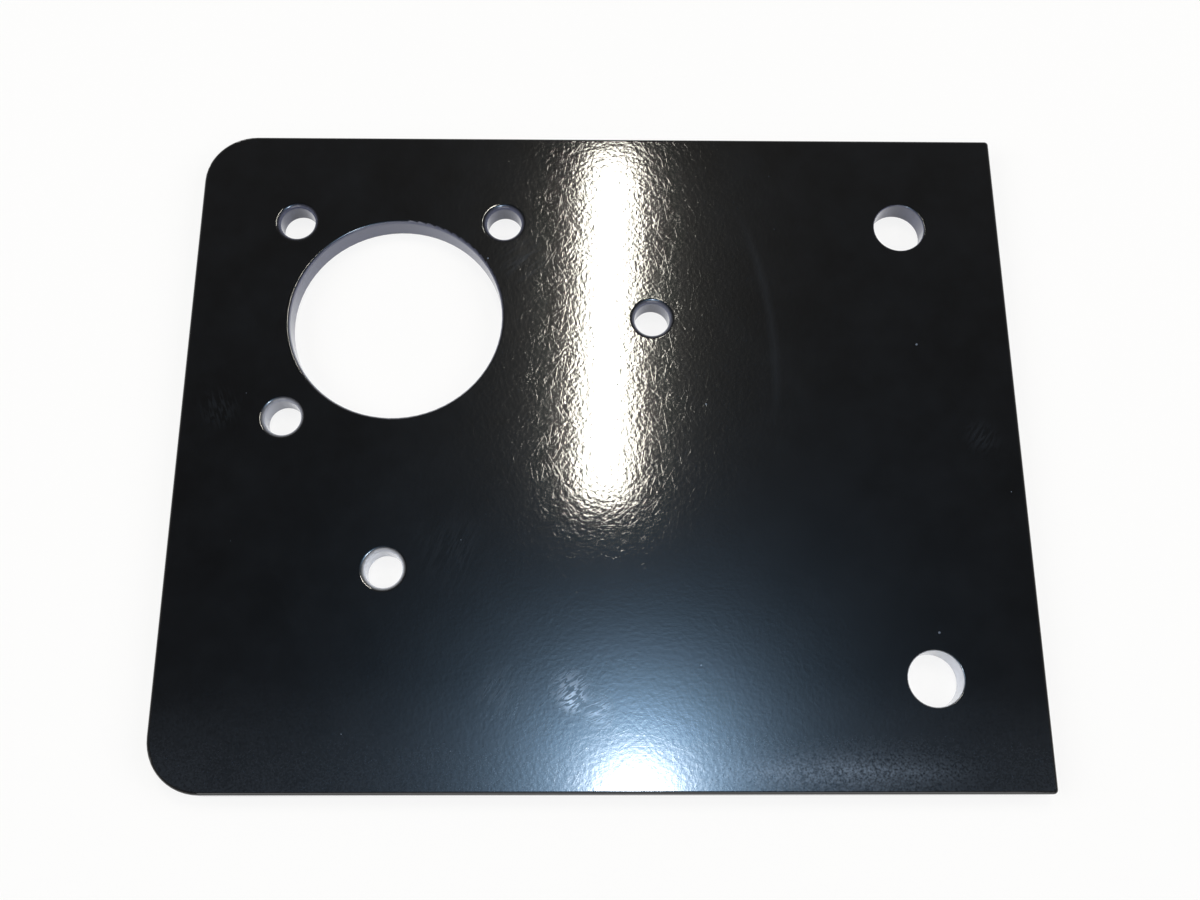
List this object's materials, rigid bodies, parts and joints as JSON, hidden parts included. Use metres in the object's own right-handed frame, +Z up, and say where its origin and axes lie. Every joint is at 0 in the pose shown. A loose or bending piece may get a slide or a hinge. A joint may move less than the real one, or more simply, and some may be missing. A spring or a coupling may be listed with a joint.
{
  "type": "tarp spool mounting bracket",
  "caption": "Flat black-coated steel plate with rounded corners at one end, a large bore for a tarp spool, bolt holes around it and a pair of fastening holes at the square end.",
  "frame": {"origin": "on the axis of the spool bore, in the plane of the plate's underside", "axes": "+X along the plate toward its square end, +Y across it toward the edge nearest the bore, +Z up through the thickness to the face with the rolled rims"},
  "size_m": [0.2032, 0.1651, 0.0063],
  "materials": {
    "gloss_black_powder_coat": "gloss black powder coat on steel, with a fine orange peel"
  },
  "bodies": {
    "root": {"mounting_plate": "gloss_black_powder_coat"}
  },
  "joints": []
}
